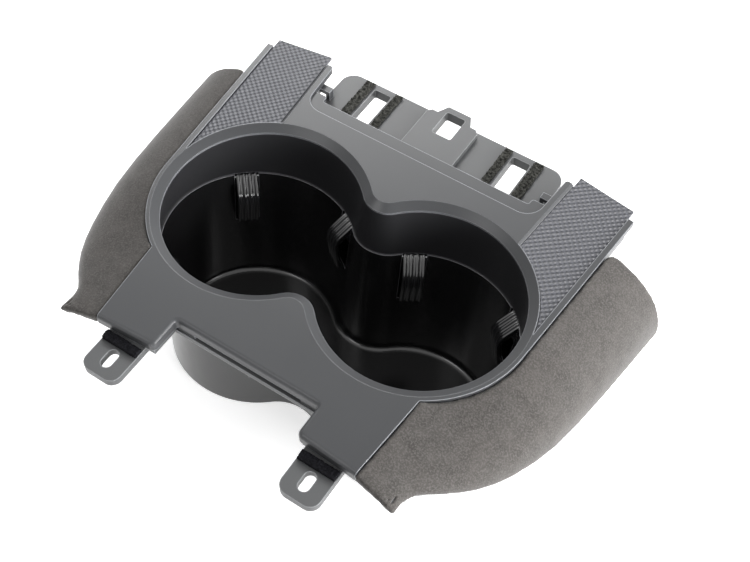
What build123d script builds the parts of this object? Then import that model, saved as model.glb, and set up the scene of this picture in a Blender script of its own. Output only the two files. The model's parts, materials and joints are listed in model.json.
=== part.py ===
from build123d import *
import os
from math import atan2, cos, degrees, radians, sin, tan

os.makedirs("parts", exist_ok=True)

# A twin cup holder for a car's centre console. Millimetres and degrees, Z up.
# The origin lies on the table midway between the two cups, X runs to the right
# and Y to the rear. The cups stand upright and the top panel rises to the rear.

# Driving dimensions of the top panel, measured in its own sloping plane
deck_height = 84.5
deck_tilt = 7.4
plate_thickness = 3.0
rim_radius = 41.0
rim_spacing = 37.5
rim_waist = 24.8
rim_chamfer_width = 3.7
rim_chamfer_depth = 2.4
rim_band_radius = 46.3
neck_angle = 58.6
rail_splay = 4.5
rail_length = 79.0
rail_width = 2.9
notch_half_width = 32.3
notch_front = 60.7
notch_corner = 1.2
foot_front = 74.4
foot_outer_x = 58.4
foot_rake = 1.5
foot_corner = 2.6
lip_depth = 4.7
lip_wall = 2.0
lip_round = 1.8
lip_support_width = 8.0
arm_rear_x = 57.5
arm_rear_y = 79.4
arm_corner = 1.4
recess_half_width = 55.4
recess_front = 54.4
recess_corner = 7.8
ledge_drop = 1.2
ledge_rear = 60.8
ledge_horn_rear = 64.0
ledge_half_width = 50.3
ledge_corner = 1.2
ledge_wall = 1.6

# Textured inlays in the two rear arms
inlay_thickness = 1.3
inlay_sink = 0.7
inlay_bevel_width = 1.1
inlay_gap = 0.3
inlay_inner_x = 58.0
inlay_inner_y = 39.6
inlay_splay = 4.8
inlay_rear_inner = 84.0
inlay_rear_outer = 80.3
inlay_rim_radius = 45.3

# Snap hooks of the arms over the rear flange
hook_y = 69.4
hook_width = 3.2
hook_reach = 51.8
hook_thickness = 2.0

# Cups
cup_spacing = 39.35
cup_seam_drop = 21.4
cup_seam_radius = 39.8
cup_seam_waist = 22.9
cup_floor_radius = 36.6
cup_floor_waist = 20.5
cup_floor_thickness = 3.5
cup_floor_round = 3.0
cup_wall = 2.0
cup_foot_round = 2.0
sleeve_wall = 1.6
collar_wall = 1.6
collar_step = 0.5
collar_clearance = 0.5
collar_flange_reach = 4.4
collar_flange_thickness = 1.6
tub_flange_reach = 5.2
tub_flange_thickness = 2.0
tub_ear_radius = 5.5
tub_seat_height = 2.2

# Carrier frame under the top panel
carrier_thickness = 2.4
carrier_clearance = 0.8
carrier_front = 73.2
carrier_notch_front = 61.4
carrier_notch_half_width = 33.8
carrier_arm_rear = 72.0
carrier_arm_setback = 1.0
panel_seat_width = 5.2
panel_seat_rear = 54.0
flange_level = 8.0
flange_thickness = 2.5
flange_half_width = 54.6
flange_rear = 87.5
flange_corner = 6.5
tongue_level = 5.5
tongue_half_width = 12.6
tongue_rear = 86.6
tongue_chamfer = 1.8
tongue_wall = 1.8
tongue_roof = 2.5
nose_rear = 91.6
nose_root_half_width = 8.2
nose_tip_half_width = 5.6
side_window_x = 34.8
side_window_width = 8.4
side_window_front = 64.6
side_window_rear = 84.4
window_corner = 1.0
window_collar_wall = 1.5
window_collar_depth = 4.8
nose_window_width = 9.2
nose_window_front = 75.6
nose_window_rear = 88.6
tab_x = 44.7
tab_width = 16.6
tab_rear = 70.6
tab_front = 93.4
tab_level = 5.0
tab_thickness = 3.4
tab_corner = 4.4
tab_slot_y = 85.4
tab_slot_length = 8.2
tab_slot_width = 4.7

# Felt strips on the rear flange and foam strips on the tabs
felt_width = 3.4
felt_thickness = 0.8
felt_front = 64.2
felt_rear = 86.6
felt_inner_x = 27.6
felt_outer_x = 42.2
foam_width = 16.0
foam_length = 3.8
foam_thickness = 1.8
foam_rear = 76.6
soft_gap = 0.15

# Screws from below, through the tub's ears and the carrier, into the top panel
screw_radius = 1.5
screw_head_radius = 3.0
screw_head_height = 1.8
screw_recess_radius = 1.2
screw_recess_depth = 0.9
screw_clearance = 0.2
screw_thread_clearance = 0.02
boss_radius = 3.6
screw_end_gap = 0.4
ear_screws = [(0, 33.6), (0, -33.6), (50.5, -48.8), (-50.5, -48.8), (69.5, 37.5), (-69.5, 37.5)]
plain_screws = [(46.0, -66.5), (-46.0, -66.5), (75.5, 66.0), (-75.5, 66.0)]

# Side panels: a moulded core wrapped in suede. Each station is a section across
# the panel: its place along the panel, inner edge, outer edge and drop.
panel_front_rake = 9.0
panel_rear = 57.2
panel_corner_round = 3.6
panel_top_level = 0.3
panel_overlap = 8.0
panel_slope = 0.25
panel_shoulder = 0.42
panel_gap = 0.4
suede_thickness = 1.2
suede_hem = 3.4
core_thickness = 2.4
core_gap = 0.3
core_return_gap = 0.3
core_leg_width = 2.0
core_leg_front = 68.0
core_leg_rear = 52.0
stake_radius = 0.9
stake_clearance = 0.3
stake_length = 3.4
stake_ys = [-56.0, 22.0, 46.0]
panel_stations = [
    (-foot_front - foot_rake, 56.0, 75.5, 6.5),
    (-72.0, 57.0, 76.0, 8.5),
    (-66.5, 57.5, 78.0, 10.5),
    (-60.0, 58.0, 84.5, 14.0),
    (-50.0, 59.0, 93.0, 18.5),
    (-36.0, 64.5, 100.5, 23.0),
    (-15.0, 78.0, 107.0, 27.5),
    (15.0, 83.5, 111.5, 31.0),
    (panel_rear, 86.0, 116.0, 35.5),
]

# Sprung grip fingers, four to a cup, hinged at their tops
finger_rear_outer = 45.7
finger_rear_inner = 55.5
finger_front_outer = 50.0
finger_front_inner = 50.0
finger_width = 9.4
finger_wall = 2.4
finger_hub_radius = 2.8
finger_ramp_angle = 45.0
finger_ramp_length = 11.1
finger_face_length = 15.7
finger_face_return = 9.0
finger_nose_round = 3.0
finger_tip_round = 1.0
finger_web_width = 1.8
finger_web_back = 0.8
finger_web_length = 11.0
finger_hinge_radius = 41.4
finger_hinge_drop = 3.2
finger_swing = 28.0
finger_groove_depth = 0.6
finger_groove_width = 1.3
finger_groove_pitch = 2.6
finger_grooves = 3
finger_side_gap = 0.5
pin_radius = 1.0
pin_running_clearance = 0.05
pin_seat_clearance = 0.02
pin_seat_depth = 1.1
pin_end_gap = 0.1
pocket_gap = 0.6
pocket_wall = 1.6
housing_root_radius = 40.0
spring_thickness = 0.35
spring_width = 5.0
spring_foot = 2.0
spring_gap = 0.3
spring_top_drop = 4.0
spring_bottom_drop = 16.5

# Frames and shared values worked out from the driving dimensions
tilt = radians(deck_tilt)
deck = Plane(origin=(0, 0, deck_height), x_dir=(1, 0, 0), z_dir=(0, -sin(tilt), cos(tilt)))
carrier_level = plate_thickness + collar_flange_thickness + tub_flange_thickness
seam_height = deck_height - cup_seam_drop
hinge_height = seam_height - finger_hinge_drop
inlay_pocket_depth = inlay_thickness + inlay_sink
finger_ramp = Vector(sin(radians(finger_ramp_angle)), -cos(radians(finger_ramp_angle)))
finger_ramp_out = Vector(-finger_ramp.Y, finger_ramp.X)
finger_face = Vector(-sin(radians(finger_face_return)), -cos(radians(finger_face_return)))
finger_face_out = Vector(-finger_face.Y, finger_face.X)
finger_nose = finger_ramp_out * finger_hub_radius + finger_ramp * finger_ramp_length
finger_tip = finger_nose + finger_face * finger_face_length
finger_heel = finger_tip - finger_face_out * finger_wall
finger_heel_angle = degrees(atan2(finger_heel.X, -finger_heel.Y))
pocket_reach = finger_heel.length * sin(radians(finger_swing - finger_heel_angle))
pocket_depth_radius = finger_hinge_radius + pocket_reach + pocket_gap
pocket_depth = finger_tip.length + pocket_gap
housing_radius = pocket_depth_radius + pocket_wall
pin_length = finger_width + 2 * (finger_side_gap + pin_seat_depth - pin_end_gap)
sleeve_inside = collar_step + collar_wall + collar_clearance
carrier_arm_inner = arm_rear_x + carrier_arm_setback
carrier_opening = collar_wall + collar_clearance + sleeve_wall + carrier_clearance
tub_flange_top = plate_thickness + collar_flange_thickness
carrier_bottom = carrier_level + carrier_thickness
flange_bottom = flange_level + flange_thickness
rail_tan = tan(radians(rail_splay))
rail_start = (
    rim_spacing + rim_band_radius * cos(radians(rail_splay)),
    -rim_band_radius * sin(radians(rail_splay)),
)
neck = (
    rim_spacing + rim_band_radius * cos(radians(neck_angle)),
    -rim_band_radius * sin(radians(neck_angle)),
)
wide = 400.0
column_height = 60.0
sides = {"left": -1, "right": 1}
side_windows = [
    (side * side_window_x, (side_window_front + side_window_rear) / 2) for side in sides.values()
]


def figure_eight(radius, spacing, waist):
    """Two cup circles joined by concave waist arcs, as a face."""
    blend = (spacing**2 + waist**2 - radius**2) / (2 * (radius - waist))
    share = radius / (radius + blend)
    touch_x = spacing * (1 - share)
    touch_y = (waist + blend) * share
    with BuildSketch() as outline:
        with BuildLine():
            ThreePointArc((touch_x, touch_y), (spacing + radius, 0), (touch_x, -touch_y))
            ThreePointArc((touch_x, -touch_y), (0, -waist), (-touch_x, -touch_y))
            ThreePointArc((-touch_x, -touch_y), (-spacing - radius, 0), (-touch_x, touch_y))
            ThreePointArc((-touch_x, touch_y), (0, waist), (touch_x, touch_y))
        make_face()
    return outline.sketch


def cup_outline(grow):
    """The cups' outline at the seam, grown outwards."""
    return figure_eight(cup_seam_radius + grow, cup_spacing, cup_seam_waist + grow)


def rim_outline(grow):
    """The opening's outline in the deck plane, grown outwards."""
    return figure_eight(rim_radius + grow, rim_spacing, rim_waist + grow)


def tongue_outline(grow):
    """The raised tongue of the rear flange and its nose."""
    with BuildSketch() as outline:
        with BuildLine():
            Polyline(
                (0, ledge_rear + carrier_clearance),
                (tongue_half_width, ledge_rear + carrier_clearance),
                (tongue_half_width, tongue_rear - tongue_chamfer),
                (tongue_half_width - tongue_chamfer, tongue_rear),
                (nose_root_half_width, tongue_rear),
                (nose_tip_half_width, nose_rear),
                (0, nose_rear),
            )
            mirror(about=Plane.YZ)
        make_face()
        if grow:
            offset(amount=grow, kind=Kind.INTERSECTION)
    return outline.sketch


def trim_outline(grow=0.0):
    """The top panel's outline in the deck plane, grown outwards."""
    with BuildSketch() as outline:
        with BuildLine():
            Polyline(
                (0, -notch_front),
                (notch_half_width, -notch_front),
                (notch_half_width, -foot_front),
                (foot_outer_x, -foot_front - foot_rake),
                neck,
            )
            band = ThreePointArc(
                neck,
                (
                    rim_spacing + rim_band_radius * cos(radians(neck_angle / 2)),
                    -rim_band_radius * sin(radians(neck_angle / 2)),
                ),
                rail_start,
            )
            rail = PolarLine(band @ 1, rail_length, 90 - rail_splay)
            Polyline(
                rail @ 1,
                (arm_rear_x, arm_rear_y),
                (recess_half_width, recess_front),
                (0, recess_front),
            )
            mirror(about=Plane.YZ)
        make_face()
        rounds = (
            (recess_front, recess_corner),
            (arm_rear_y, arm_corner),
            (-notch_front, notch_corner),
            (-foot_front, foot_corner),
        )
        for level, radius in rounds:
            corners = outline.vertices().filter_by(lambda v: abs(v.Y - level) < 0.01)
            fillet(corners.filter_by(lambda v: abs(v.X) > 1), radius)
        if grow:
            offset(amount=grow)
    return outline.sketch


def inlay_outline(grow=0.0):
    """The right inlay's outline in the deck plane, grown outwards."""
    slope = tan(radians(inlay_splay))
    outer_x = rail_start[0] - rail_start[1] * rail_tan - rail_width
    with BuildSketch() as outline:
        with BuildLine():
            Polyline(
                (inlay_inner_x - inlay_inner_y * slope, 0),
                (inlay_inner_x + (inlay_rear_inner - inlay_inner_y) * slope, inlay_rear_inner),
                (outer_x + inlay_rear_outer * rail_tan, inlay_rear_outer),
                (outer_x, 0),
                close=True,
            )
        make_face()
        with Locations((rim_spacing, 0)):
            Circle(inlay_rim_radius, mode=Mode.SUBTRACT)
        if grow:
            offset(amount=grow, kind=Kind.INTERSECTION)
    return outline.sketch


def inlay_bevel(side, reach):
    """Strip over an inlay's inner edge, reaching out from it over the arm."""
    slope = tan(radians(inlay_splay))
    front_x = inlay_inner_x - inlay_inner_y * slope
    rear_x = inlay_inner_x + (inlay_rear_inner - inlay_inner_y) * slope
    with BuildSketch() as outline:
        with BuildLine():
            Polyline(
                (side * (front_x - reach), 0),
                (side * (rear_x - reach), inlay_rear_inner),
                (side * (rear_x + inlay_bevel_width), inlay_rear_inner),
                (side * (front_x + inlay_bevel_width), 0),
                close=True,
            )
        make_face()
        with Locations((side * rim_spacing, 0)):
            Circle(inlay_rim_radius - inlay_gap, mode=Mode.SUBTRACT)
    return outline.sketch


def smooth_stations():
    """The panel's stations with a smooth one added halfway between each pair."""
    last = len(panel_stations) - 1
    slopes = []
    for i in range(last + 1):
        before = panel_stations[max(i - 1, 0)]
        after = panel_stations[min(i + 1, last)]
        slopes.append([(b - a) / (after[0] - before[0]) for a, b in zip(before, after)])
    stations = [panel_stations[0]]
    for i in range(last):
        one = panel_stations[i]
        two = panel_stations[i + 1]
        reach = (two[0] - one[0]) / 8
        bends = zip(one, two, slopes[i], slopes[i + 1])
        stations.append([(a + b) / 2 + reach * (m - n) for a, b, m, n in bends])
        stations.append(two)
    return stations


def panel_block(skin, rise):
    """Everything deeper than a skin under the right panel's outer surface, down to its hem."""
    stations = smooth_stations()
    front = stations[0]
    rear = stations[-1]
    sections = [(front[0] - panel_overlap, *front[1:])]
    sections += stations
    sections += [(rear[0] + panel_overlap, *rear[1:])]
    with BuildPart() as block:
        for y, inner, outer, drop in sections:
            rake = radians(panel_front_rake) if y <= front[0] else 0.0
            plane = Plane(
                origin=deck.from_local_coords((foot_outer_x, y, 0)),
                x_dir=deck.x_dir * cos(rake) - deck.y_dir * sin(rake),
                z_dir=-deck.x_dir * sin(rake) - deck.y_dir * cos(rake),
            )
            start = (inner - foot_outer_x) / cos(rake)
            end = (outer - foot_outer_x) / cos(rake)
            middle = (start + end) / 2
            far = start - panel_overlap
            top = -panel_top_level - skin
            low = rise - drop
            with BuildSketch(plane):
                with BuildLine():
                    Bezier(
                        (start, top),
                        (middle - panel_slope * skin, top - panel_slope * (middle - start)),
                        (end - skin, -panel_shoulder * drop - panel_slope * skin),
                        (end - skin, low),
                    )
                    Polyline((end - skin, low), (far, low), (far, top), (start, top))
                make_face()
        loft(ruled=True)
    return block.part


def panel_range(gap):
    """A tall block between the right panel's two ends, set back from each by a gap."""
    front = -foot_front - foot_rake + gap
    with BuildPart() as block:
        with BuildSketch(deck.offset(column_height)):
            with BuildLine():
                Polyline(
                    (0, front + foot_outer_x * tan(radians(panel_front_rake))),
                    (wide, front + (foot_outer_x - wide) * tan(radians(panel_front_rake))),
                    (wide, panel_rear - gap),
                    (0, panel_rear - gap),
                    close=True,
                )
            make_face()
        extrude(amount=-2 * column_height)
    return block.part


def panel_corner(gap):
    """A column outside the round of the right panel's inner rear corner."""
    splay = radians(rail_splay)
    middle_y = panel_rear - panel_corner_round
    edge_x = rail_start[0] + (middle_y - rail_start[1]) * rail_tan
    middle = Vector(edge_x + (panel_gap + panel_corner_round) / cos(splay), middle_y)
    inward = Vector(-cos(splay), sin(splay)) * (2 * panel_corner_round)
    rearward = Vector(0, 2 * panel_corner_round)
    with BuildPart() as block:
        with BuildSketch(deck.offset(column_height)):
            with BuildLine():
                Polyline(middle, middle + inward, middle + inward + rearward, middle + rearward, close=True)
            make_face()
            with Locations(middle):
                Circle(panel_corner_round - gap, mode=Mode.SUBTRACT)
        extrude(amount=-2 * column_height)
    return block.part


def trim_column(grow):
    """The top panel's outline as a tall column, grown outwards."""
    with BuildPart() as column:
        with BuildSketch(deck.offset(column_height)):
            add(trim_outline(grow))
        extrude(amount=-2 * column_height)
    return column.part


def finger_frame(side, place):
    """Plane at a finger's hinge: X to the cup's middle, Y up, Z along the pin."""
    angle = radians(place)
    outward = (side * cos(angle), sin(angle))
    return Plane(
        origin=(
            side * cup_spacing + finger_hinge_radius * outward[0],
            finger_hinge_radius * outward[1],
            hinge_height,
        ),
        x_dir=(-outward[0], -outward[1], 0),
        z_dir=(-outward[1], outward[0], 0),
    )


def finger_section(sink):
    """A finger seen along its pin: hub, ramp and face, with the front sunk by a depth."""
    mitre = (finger_ramp_out + finger_face_out) / (1 + finger_ramp_out.dot(finger_face_out))
    nose = finger_nose - mitre * sink
    tip = finger_tip - finger_face_out * sink
    with BuildSketch() as section:
        with BuildLine():
            Polyline(
                finger_ramp_out * (finger_hub_radius - sink),
                nose,
                tip,
                finger_heel,
                finger_nose - mitre * finger_wall,
                finger_ramp_out * (finger_hub_radius - finger_wall),
                close=True,
            )
        make_face()
        fillet(section.vertices().sort_by_distance(nose)[0], finger_nose_round)
        fillet(section.vertices().sort_by_distance(tip)[0], finger_tip_round)
        Circle(finger_hub_radius - sink)
        Circle(pin_radius + pin_running_clearance, mode=Mode.SUBTRACT)
    return section.sketch


def stake_point(y):
    """Middle of the right core's leg at a place along the panel."""
    inset = panel_gap + suede_thickness + core_return_gap + core_leg_width / 2
    if y > rail_start[1]:
        splay = radians(rail_splay)
        return (rail_start[0] + (y - rail_start[1]) * rail_tan + inset / cos(splay), y)
    share = (y + foot_front) / (foot_front + neck[1])
    return (foot_outer_x + (neck[0] - foot_outer_x) * share + inset, y)


stake_points = [stake_point(y) for y in stake_ys]
finger_places = {
    "rear_outer": finger_rear_outer,
    "rear_inner": 180 - finger_rear_inner,
    "front_outer": -finger_front_outer,
    "front_inner": finger_front_inner - 180,
}

# Top panel: a satin moulded plate with a chamfered figure-of-eight opening, two
# front feet with a rolled lip, two rear arms with inlay pockets, and a recess
with BuildPart() as trim_plate:
    with BuildSketch(deck):
        add(trim_outline())
    extrude(amount=-plate_thickness)
    with BuildSketch(deck.offset(-ledge_drop)) as ledge:
        with BuildLine():
            Polyline(
                (0, recess_front - recess_corner),
                (arm_rear_x, recess_front - recess_corner),
                (arm_rear_x, ledge_horn_rear),
                (ledge_half_width, ledge_horn_rear),
                (ledge_half_width, ledge_rear),
                (0, ledge_rear),
            )
            mirror(about=Plane.YZ)
        make_face()
        horns = ledge.vertices().filter_by(lambda v: abs(abs(v.X) - ledge_half_width) < 0.01)
        fillet(horns, ledge_corner)
    extrude(amount=ledge_drop - plate_thickness)
    # Lip along the front, with supports that reach the carrier beside the notch
    with BuildSketch(deck.offset(-plate_thickness)):
        add(trim_outline())
        add(trim_outline(-lip_wall), mode=Mode.SUBTRACT)
        with Locations((0, -foot_front)):
            Rectangle(wide, 2 * (foot_front - notch_front + lip_wall), mode=Mode.INTERSECT)
    extrude(amount=plate_thickness - lip_depth)
    with BuildSketch(deck.offset(-plate_thickness)):
        for side in sides.values():
            with Locations((side * (notch_half_width - lip_support_width / 2), -notch_front + lip_wall / 2)):
                Rectangle(lip_support_width, lip_wall)
    extrude(amount=plate_thickness - carrier_level)
    # Wall under the ledge and screw bosses, down to the carrier
    with BuildSketch(deck.offset(-plate_thickness)):
        with Locations((0, ledge_rear - ledge_wall / 2)):
            Rectangle(2 * ledge_half_width, ledge_wall)
        with Locations(*plain_screws):
            Circle(boss_radius)
    extrude(amount=plate_thickness - carrier_level)
    with BuildSketch(deck.offset(-plate_thickness)):
        with Locations(*ear_screws):
            Circle(boss_radius)
    extrude(amount=-collar_flange_thickness)
    with BuildSketch(deck.offset(-carrier_level)):
        with Locations(*ear_screws, *plain_screws):
            Circle(screw_radius + screw_thread_clearance)
    extrude(amount=carrier_level - plate_thickness, mode=Mode.SUBTRACT)
    # Snap hooks: an arm inwards and a toe down onto the flange
    for side in sides.values():
        with BuildSketch(deck.offset(-plate_thickness)):
            with Locations((side * (hook_reach + arm_rear_x) / 2, hook_y)):
                Rectangle(arm_rear_x - hook_reach, hook_width)
        extrude(amount=-hook_thickness)
        with BuildSketch(deck.offset(-plate_thickness - hook_thickness)):
            with Locations((side * (hook_reach + hook_thickness / 2), hook_y)):
                Rectangle(hook_thickness, hook_width)
        extrude(amount=plate_thickness + hook_thickness + soft_gap - flange_level)
    # Pockets for the inlays
    with BuildSketch(deck):
        add(inlay_outline(inlay_gap))
        mirror(about=Plane.YZ)
    extrude(amount=-inlay_pocket_depth, mode=Mode.SUBTRACT)
    # Sloping strip from each arm down to its inlay
    for side in sides.values():
        with BuildSketch(deck):
            add(inlay_bevel(side, inlay_gap + inlay_bevel_width))
        with BuildSketch(deck.offset(-inlay_sink)):
            add(inlay_bevel(side, inlay_gap))
        loft(ruled=True, mode=Mode.SUBTRACT)
    # Rolled front edge
    front_edges = trim_plate.edges().filter_by(
        lambda e: abs(deck.to_local_coords(e.center()).Z) < 0.01
        and deck.to_local_coords(e.center()).Y < -notch_front + notch_corner / 2
    )
    fillet(front_edges, lip_round)
    # Opening for the cups
    with BuildSketch(deck):
        add(rim_outline(rim_chamfer_width))
    with BuildSketch(deck.offset(-rim_chamfer_depth)):
        add(rim_outline(0))
    loft(ruled=True, mode=Mode.SUBTRACT)
    with BuildSketch(deck.offset(-rim_chamfer_depth)):
        add(rim_outline(0))
    extrude(amount=-plate_thickness, mode=Mode.SUBTRACT)
trim_plate.part.label = "trim_plate"
export_step(trim_plate.part, "parts/trim_plate.step")

# Textured inlays, which lie in the pockets of the arms
with BuildPart() as inlay_right:
    with BuildSketch(deck.offset(-inlay_pocket_depth)):
        add(inlay_outline())
    extrude(amount=inlay_thickness)
with BuildPart() as inlay_left:
    mirror(inlay_right.part, about=Plane.YZ)

# Collar: the black upper wall of the cups, hung by its flange under the top panel
with BuildPart() as cup_collar:
    with BuildSketch(deck.offset(-plate_thickness)):
        add(rim_outline(collar_wall))
    with BuildSketch(Plane.XY.offset(seam_height)):
        add(cup_outline(collar_step + collar_wall))
    loft(ruled=True)
    with BuildSketch(deck.offset(-plate_thickness)):
        add(rim_outline(collar_flange_reach))
    extrude(amount=-collar_flange_thickness)
    with BuildSketch(deck.offset(-plate_thickness)):
        add(rim_outline(0))
    with BuildSketch(Plane.XY.offset(seam_height)):
        add(cup_outline(collar_step))
    loft(ruled=True, mode=Mode.SUBTRACT)
cup_collar.part.label = "cup_collar"
export_step(cup_collar.part, "parts/cup_collar.step")

# Tub: both cups in one moulding, with the finger housings, and a sleeve and
# flange that hang it from the carrier frame
with BuildPart() as cup_void:
    with BuildSketch(Plane.XY.offset(cup_floor_thickness)):
        add(figure_eight(cup_floor_radius, cup_spacing, cup_floor_waist))
    with BuildSketch(Plane.XY.offset(seam_height)):
        add(cup_outline(0))
    loft(ruled=True)
    fillet(cup_void.faces().sort_by(Axis.Z)[0].edges(), cup_floor_round)

with BuildPart() as cup_tub:
    with BuildSketch():
        add(figure_eight(cup_floor_radius + cup_wall, cup_spacing, cup_floor_waist + cup_wall))
    with BuildSketch(Plane.XY.offset(seam_height)):
        add(cup_outline(cup_wall))
    loft(ruled=True)
    fillet(cup_tub.faces().sort_by(Axis.Z)[0].edges(), cup_foot_round)
    with BuildSketch(Plane.XY.offset(seam_height)):
        add(cup_outline(sleeve_inside + sleeve_wall))
    extrude(amount=-tub_seat_height)
    with BuildSketch(Plane.XY.offset(seam_height)):
        add(cup_outline(sleeve_inside + sleeve_wall))
    with BuildSketch(deck.offset(-tub_flange_top)):
        add(rim_outline(collar_wall + collar_clearance + sleeve_wall))
    loft(ruled=True)
    with BuildSketch(deck.offset(-tub_flange_top)):
        add(rim_outline(tub_flange_reach))
        with Locations(*ear_screws):
            Circle(tub_ear_radius)
    extrude(amount=-tub_flange_thickness)
    for side in sides.values():
        for place in finger_places.values():
            hinge = finger_frame(side, place)
            with BuildSketch(hinge.offset(-finger_width / 2 - finger_side_gap - pocket_wall)):
                with BuildLine():
                    Polyline(
                        (finger_hinge_radius - housing_root_radius, finger_hinge_drop + pocket_wall),
                        (finger_hinge_radius - housing_radius, finger_hinge_drop + pocket_wall),
                        (finger_hinge_radius - housing_radius, -pocket_depth - pocket_wall),
                        (finger_hinge_radius - housing_root_radius, -pocket_depth - pocket_wall),
                        close=True,
                    )
                make_face()
            extrude(amount=finger_width + 2 * (finger_side_gap + pocket_wall))
    add(cup_void.part, mode=Mode.SUBTRACT)
    with BuildSketch(Plane.XY.offset(seam_height)):
        add(cup_outline(sleeve_inside))
    with BuildSketch(deck.offset(-tub_flange_top)):
        add(rim_outline(collar_wall + collar_clearance))
    loft(ruled=True, mode=Mode.SUBTRACT)
    for side in sides.values():
        for place in finger_places.values():
            hinge = finger_frame(side, place)
            with BuildSketch(hinge.offset(-finger_width / 2 - finger_side_gap)):
                with BuildLine():
                    Polyline(
                        (finger_hinge_radius - cup_floor_radius, finger_hinge_drop),
                        (finger_hinge_radius - pocket_depth_radius, finger_hinge_drop),
                        (finger_hinge_radius - pocket_depth_radius, -pocket_depth),
                        (finger_hinge_radius - cup_floor_radius, -pocket_depth),
                        close=True,
                    )
                make_face()
            extrude(amount=finger_width + 2 * finger_side_gap, mode=Mode.SUBTRACT)
            with BuildSketch(hinge.offset(-pin_length / 2 - pin_end_gap)):
                Circle(pin_radius + pin_seat_clearance)
            extrude(amount=pin_length + 2 * pin_end_gap, mode=Mode.SUBTRACT)
    with BuildSketch(deck.offset(-tub_flange_top)):
        with Locations(*ear_screws):
            Circle(screw_radius + screw_clearance)
    extrude(amount=-tub_flange_thickness, mode=Mode.SUBTRACT)
cup_tub.part.label = "cup_tub"
export_step(cup_tub.part, "parts/cup_tub.step")

# Carrier frame: the grey moulding under everything, with the rear flange, the
# front mounting tabs and a seat along each side for the side panels
with BuildPart() as carrier_frame:
    with BuildSketch(deck.offset(-carrier_level)):
        add(trim_outline(panel_seat_width))
        with Locations((0, panel_seat_rear - wide / 2)):
            Rectangle(wide, wide, mode=Mode.INTERSECT)
        add(trim_outline(-carrier_arm_setback))
        with Locations((0, (recess_front + ledge_rear) / 2)):
            Rectangle(2 * recess_half_width, ledge_rear - recess_front)
        with Locations((0, (carrier_arm_rear - carrier_front) / 2)):
            Rectangle(wide, carrier_arm_rear + carrier_front, mode=Mode.INTERSECT)
        with Locations((0, -carrier_notch_front - wide / 2)):
            Rectangle(2 * carrier_notch_half_width, wide, mode=Mode.SUBTRACT)
        with Locations((0, ledge_rear + wide / 2)):
            Rectangle(2 * carrier_arm_inner, wide, mode=Mode.SUBTRACT)
    extrude(amount=-carrier_thickness)
    # Opening for the tub
    with BuildSketch(deck.offset(-tub_flange_top)):
        add(rim_outline(carrier_opening))
    with BuildSketch(Plane.XY.offset(seam_height)):
        add(cup_outline(sleeve_inside + sleeve_wall + carrier_clearance))
    loft(ruled=True, mode=Mode.SUBTRACT)
    # Rear flange with its raised tongue
    with BuildSketch(deck.offset(-flange_level)) as flange:
        with Locations((0, (recess_front + flange_rear) / 2)):
            Rectangle(2 * flange_half_width, flange_rear - recess_front)
        fillet(flange.vertices().group_by(Axis.Y)[-1], flange_corner)
    extrude(amount=-flange_thickness)
    with BuildSketch(deck.offset(-tongue_level)):
        add(tongue_outline(0))
    extrude(amount=tongue_level - flange_bottom)
    with BuildSketch(deck.offset(-flange_bottom)):
        add(tongue_outline(-tongue_wall))
        with Locations((0, (nose_window_front + nose_window_rear) / 2)):
            Rectangle(
                nose_window_width + 2 * tongue_wall,
                nose_window_rear - nose_window_front + 2 * tongue_wall,
                mode=Mode.SUBTRACT,
            )
    extrude(amount=flange_bottom - tongue_level - tongue_roof, mode=Mode.SUBTRACT)
    # Collared windows
    with BuildSketch(deck.offset(-flange_bottom)):
        with Locations(*side_windows):
            RectangleRounded(
                side_window_width + 2 * window_collar_wall,
                side_window_rear - side_window_front + 2 * window_collar_wall,
                window_corner + window_collar_wall,
            )
    extrude(amount=flange_bottom - flange_level - window_collar_depth)
    with BuildSketch(deck.offset(-flange_level)):
        with Locations(*side_windows):
            RectangleRounded(side_window_width, side_window_rear - side_window_front, window_corner)
    extrude(amount=-window_collar_depth, mode=Mode.SUBTRACT)
    with BuildSketch(deck.offset(-tongue_level)):
        with Locations((0, (nose_window_front + nose_window_rear) / 2)):
            RectangleRounded(nose_window_width, nose_window_rear - nose_window_front, window_corner)
    extrude(amount=tongue_level - flange_bottom, mode=Mode.SUBTRACT)
    # Front tabs, each with one slot
    with BuildSketch(deck.offset(-tab_level)) as tabs:
        with Locations(*[(side * tab_x, -(tab_rear + tab_front) / 2) for side in sides.values()]):
            Rectangle(tab_width, tab_front - tab_rear)
        fillet(tabs.vertices().group_by(Axis.Y)[0], tab_corner)
        with Locations(*[(side * tab_x, -tab_slot_y) for side in sides.values()]):
            SlotOverall(tab_slot_length, tab_slot_width, rotation=90, mode=Mode.SUBTRACT)
    extrude(amount=-tab_thickness)
    # Holes for the screws and for the panels' stakes
    with BuildSketch(deck.offset(-carrier_level)):
        with Locations(*ear_screws, *plain_screws):
            Circle(screw_radius + screw_clearance)
        with Locations(*stake_points, *[(-x, y) for x, y in stake_points]):
            Circle(stake_radius + stake_clearance)
    extrude(amount=-carrier_thickness, mode=Mode.SUBTRACT)
carrier_frame.part.label = "carrier_frame"
export_step(carrier_frame.part, "parts/carrier_frame.step")

# Felt strips on the rear flange
felt_places = {
    "felt_strip_outer_left": -felt_outer_x,
    "felt_strip_inner_left": -felt_inner_x,
    "felt_strip_inner_right": felt_inner_x,
    "felt_strip_outer_right": felt_outer_x,
}
for name, x in felt_places.items():
    with BuildPart() as felt:
        with BuildSketch(deck.offset(soft_gap - flange_level)):
            with Locations((x, (felt_front + felt_rear) / 2)):
                Rectangle(felt_width, felt_rear - felt_front)
        extrude(amount=felt_thickness)
    felt.part.label = name
    export_step(felt.part, f"parts/{name}.step")

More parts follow.
